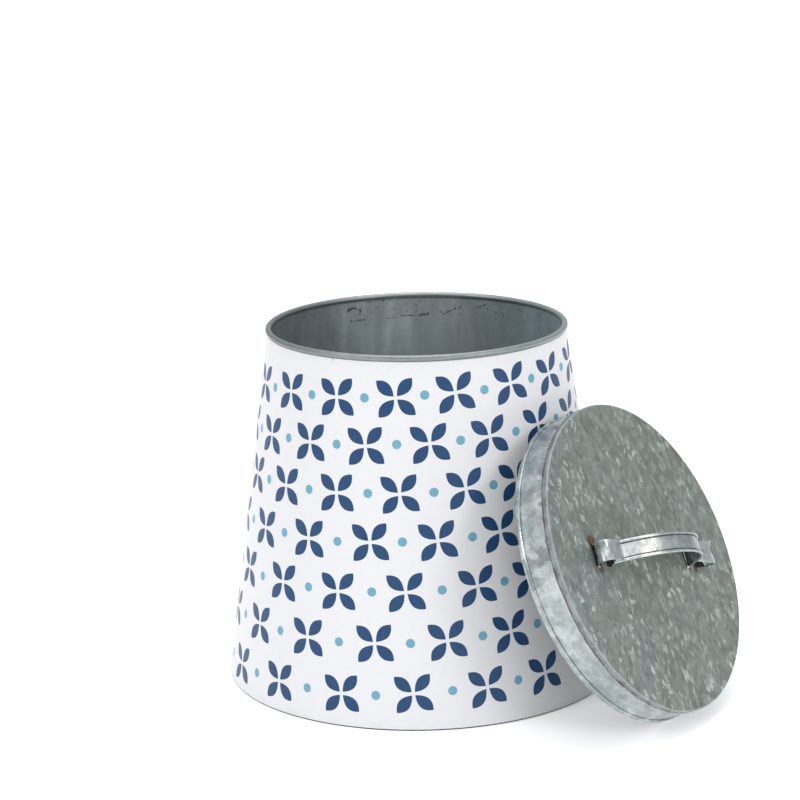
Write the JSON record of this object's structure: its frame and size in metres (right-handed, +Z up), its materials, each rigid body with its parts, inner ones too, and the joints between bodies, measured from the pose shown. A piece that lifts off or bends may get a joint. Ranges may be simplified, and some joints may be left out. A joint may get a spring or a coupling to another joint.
{
  "type": "spice tin",
  "caption": "Tapered galvanised canister with a printed wrap, and a slip-on lid with a strap handle that leans against it.",
  "frame": {"origin": "centre of the canister's base, on the surface it stands on", "axes": "+Z up along the canister's axis; the loose lid leans on the +X, -Y side"},
  "size_m": [0.2592, 0.2433, 0.18],
  "materials": {
    "galvanised_sheet": "satin",
    "aged_zinc_sheet": "satin",
    "bright_zinc_sheet": "satin",
    "steel_wire": "satin",
    "printed_film": "satin"
  },
  "bodies": {
    "canister": {"can_wall": "galvanised_sheet", "rim_wire": "steel_wire", "can_bottom": "galvanised_sheet", "printed_wrap": "printed_film"},
    "lid": {"lid_plate": "aged_zinc_sheet", "lid_skirt": "bright_zinc_sheet", "handle_strap": "bright_zinc_sheet"}
  },
  "joints": [
    {"name": "lid_pull", "type": "slide", "parent": "canister", "child": "lid", "axis": [0.7637, -0.468, 0.4446], "range_m": [0, 0.12]}
  ]
}
